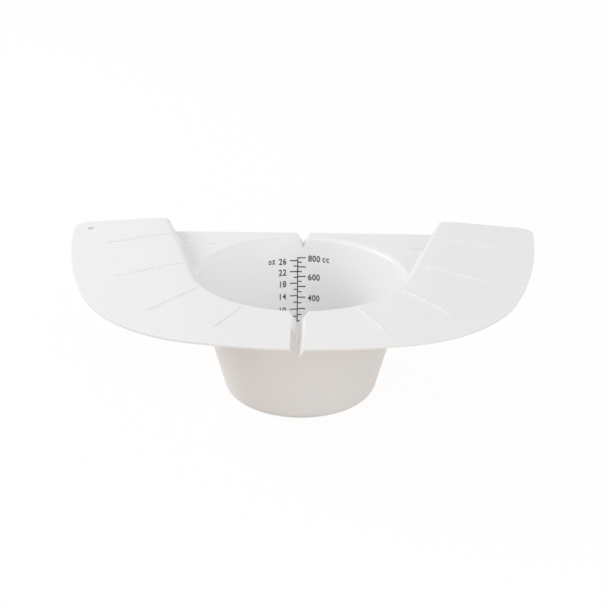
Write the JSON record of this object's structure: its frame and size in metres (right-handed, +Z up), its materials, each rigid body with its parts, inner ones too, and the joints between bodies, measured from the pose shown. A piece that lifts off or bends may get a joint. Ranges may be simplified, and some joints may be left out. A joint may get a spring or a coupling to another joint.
{
  "type": "specimen collection pan",
  "caption": "Thin moulded pan with a round tapering bowl under a wide D-shaped brim, a lower shelf behind the bowl and V-shaped pouring channels at front and back.",
  "frame": {"origin": "middle of the bowl's foot, where it stands", "axes": "+Z up out of the bowl; -Y towards the curved front of the brim; +X to the right seen from the front"},
  "size_m": [0.3426, 0.2173, 0.0967],
  "materials": {
    "sheet": "satin white moulded plastic, slightly translucent"
  },
  "bodies": {
    "root": {"pan": "sheet"}
  },
  "joints": []
}
